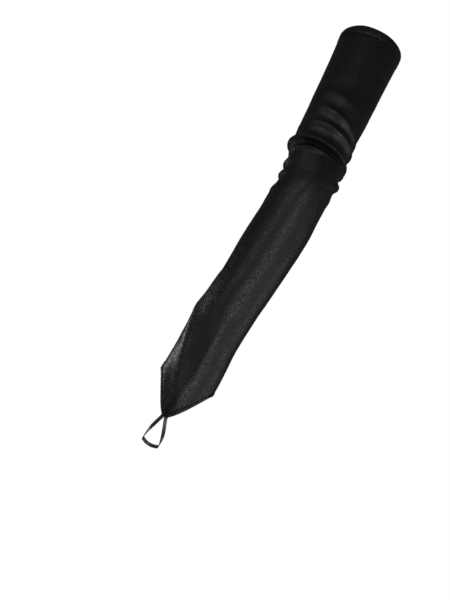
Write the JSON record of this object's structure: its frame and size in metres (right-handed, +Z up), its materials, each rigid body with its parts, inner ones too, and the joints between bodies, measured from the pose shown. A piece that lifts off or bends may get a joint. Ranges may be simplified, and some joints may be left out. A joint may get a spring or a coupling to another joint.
{
  "type": "evening mitten",
  "caption": "Long fingerless satin evening mitten for the left arm, with slouched elbow folds, a pointed hand end and a ribbon loop for the middle finger.",
  "frame": {"origin": "middle of the top opening, where the upper arm goes in", "axes": "+Z up the forearm towards the elbow, -Y the side of the back of the hand, +X the outer side of the arm, -X the thumb side"},
  "size_m": [0.0889, 0.1077, 0.5068],
  "materials": {
    "satin": "black polyester satin with a soft sheen",
    "ribbon": "narrow black satin ribbon, shinier than the sleeve",
    "thread": "matt black sewing thread"
  },
  "bodies": {
    "root": {"upper_sleeve": "satin", "forearm_sleeve": "satin", "hand_sleeve": "satin", "top_hem": "satin", "hand_hem": "satin", "finger_loop": "ribbon", "loop_tack": "thread"}
  },
  "joints": []
}
